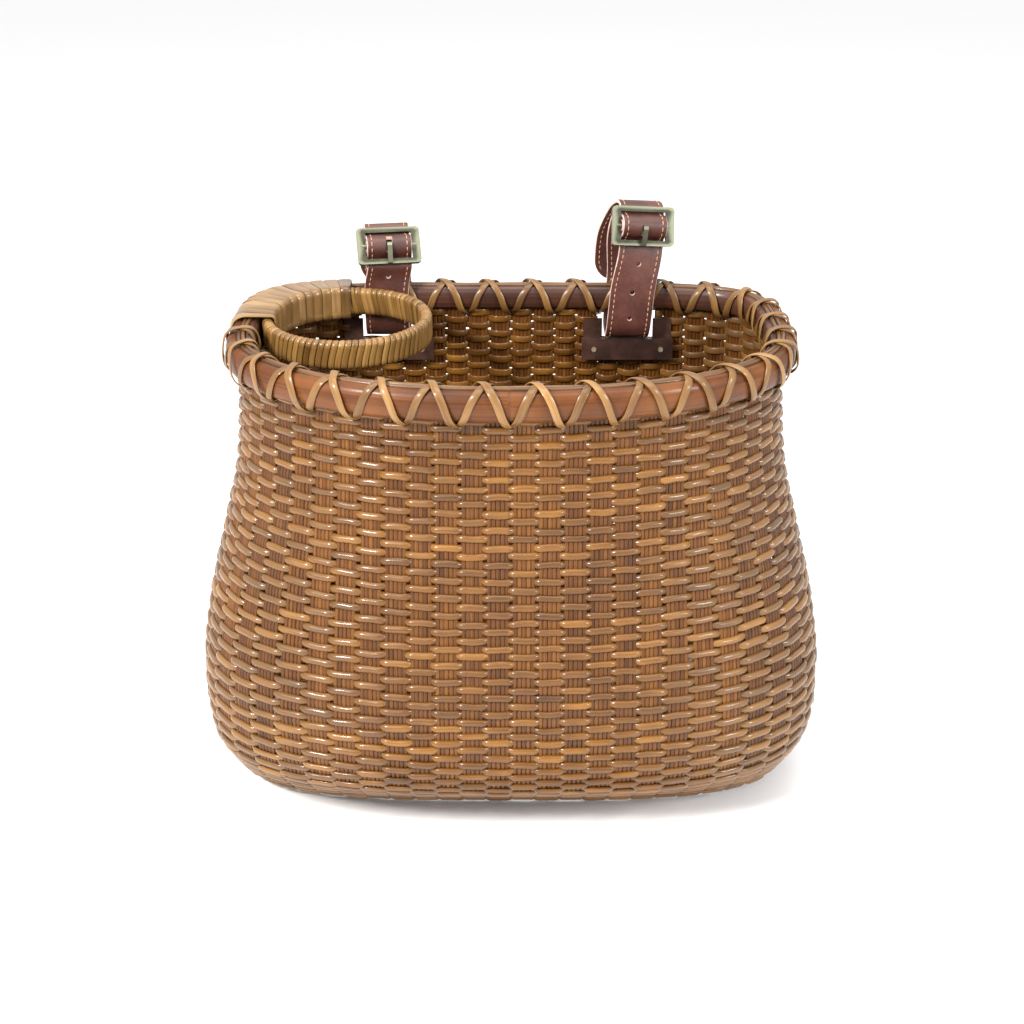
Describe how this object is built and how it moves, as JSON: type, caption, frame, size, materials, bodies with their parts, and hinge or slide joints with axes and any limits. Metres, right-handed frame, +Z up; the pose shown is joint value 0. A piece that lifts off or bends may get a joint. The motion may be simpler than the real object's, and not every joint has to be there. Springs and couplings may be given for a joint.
{
  "type": "handlebar basket",
  "caption": "Woven cane basket with a lashed rim, a cup ring inside one corner and two buckled leather straps that loop over a handlebar.",
  "frame": {"origin": "middle of the flat underside of the woven base", "axes": "+Z up; the back wall with the two straps faces +Y, towards the handlebar; +X is the rider's side opposite the cup ring"},
  "size_m": [0.277, 0.2036, 0.2412],
  "materials": {
    "weaver_cane": "varnished half-round cane, warm brown",
    "base_cane": "varnished cane, warm brown",
    "upright_cane": "dark varnished cane",
    "rim_rattan": "varnished rattan with lengthwise grain",
    "rim_dark": "dark varnished rattan",
    "cap_cane": "pale cane, satin",
    "lashing_cane": "flat pale cane, satin",
    "ring_cane": "golden flat cane, glossy",
    "dark_wood": "dark stained wood",
    "pin_metal": "dull pin heads",
    "strap_leather": "smooth reddish-brown leather with pale edges",
    "strap_thread": "tan stitching",
    "antique_brass": "antique brass plating, satin"
  },
  "bodies": {
    "basket": {"woven_wall": "weaver_cane", "woven_base": "base_cane", "wall_uprights": "upright_cane", "rim_outer_hoop": "rim_rattan", "rim_inner_hoop": "rim_dark", "rim_cap_canes": "cap_cane", "rim_lashing_a": "lashing_cane", "rim_lashing_b": "lashing_cane", "cup_ring_core": "rim_rattan", "cup_ring_wrap": "ring_cane", "cup_ring_binding": "ring_cane", "slot_posts_left": "dark_wood", "slot_posts_right": "dark_wood", "slot_bar_left": "dark_wood", "slot_bar_right": "dark_wood", "slot_pins_left": "pin_metal", "slot_pins_right": "pin_metal"},
    "strap_left": {"strap_left": "strap_leather", "strap_thread_left": "strap_thread"},
    "strap_right": {"strap_right": "strap_leather", "strap_thread_right": "strap_thread"},
    "buckle_left": {"buckle_frame_left": "antique_brass"},
    "buckle_right": {"buckle_frame_right": "antique_brass"},
    "prong_left": {"buckle_prong_left": "antique_brass"},
    "prong_right": {"buckle_prong_right": "antique_brass"}
  },
  "joints": [
    {"name": "strap_left_slide", "type": "slide", "parent": "basket", "child": "strap_left", "axis": [0, 0, 1], "range_m": [0, 0.003]},
    {"name": "strap_right_slide", "type": "slide", "parent": "basket", "child": "strap_right", "axis": [0.0785, 0, 0.9969], "range_m": [0, 0.003]},
    {"name": "buckle_left_rock", "type": "hinge", "parent": "strap_left", "child": "buckle_left", "pos_m": [-0.05792, 0.06924, 0.2205], "axis": [0.9848, 0.1736, 0], "range_deg": [-2, 2]},
    {"name": "buckle_right_rock", "type": "hinge", "parent": "strap_right", "child": "buckle_right", "pos_m": [0.06212, 0.06717, 0.2305], "axis": [0.9818, 0.1731, -0.0785], "range_deg": [-2, 2]},
    {"name": "prong_left_lift", "type": "hinge", "parent": "buckle_left", "child": "prong_left", "pos_m": [-0.05792, 0.06924, 0.2205], "axis": [-0.9848, -0.1736, 0], "range_deg": [0, 30]},
    {"name": "prong_right_lift", "type": "hinge", "parent": "buckle_right", "child": "prong_right", "pos_m": [0.06212, 0.06717, 0.2305], "axis": [-0.9818, -0.1731, 0.0785], "range_deg": [0, 30]}
  ]
}
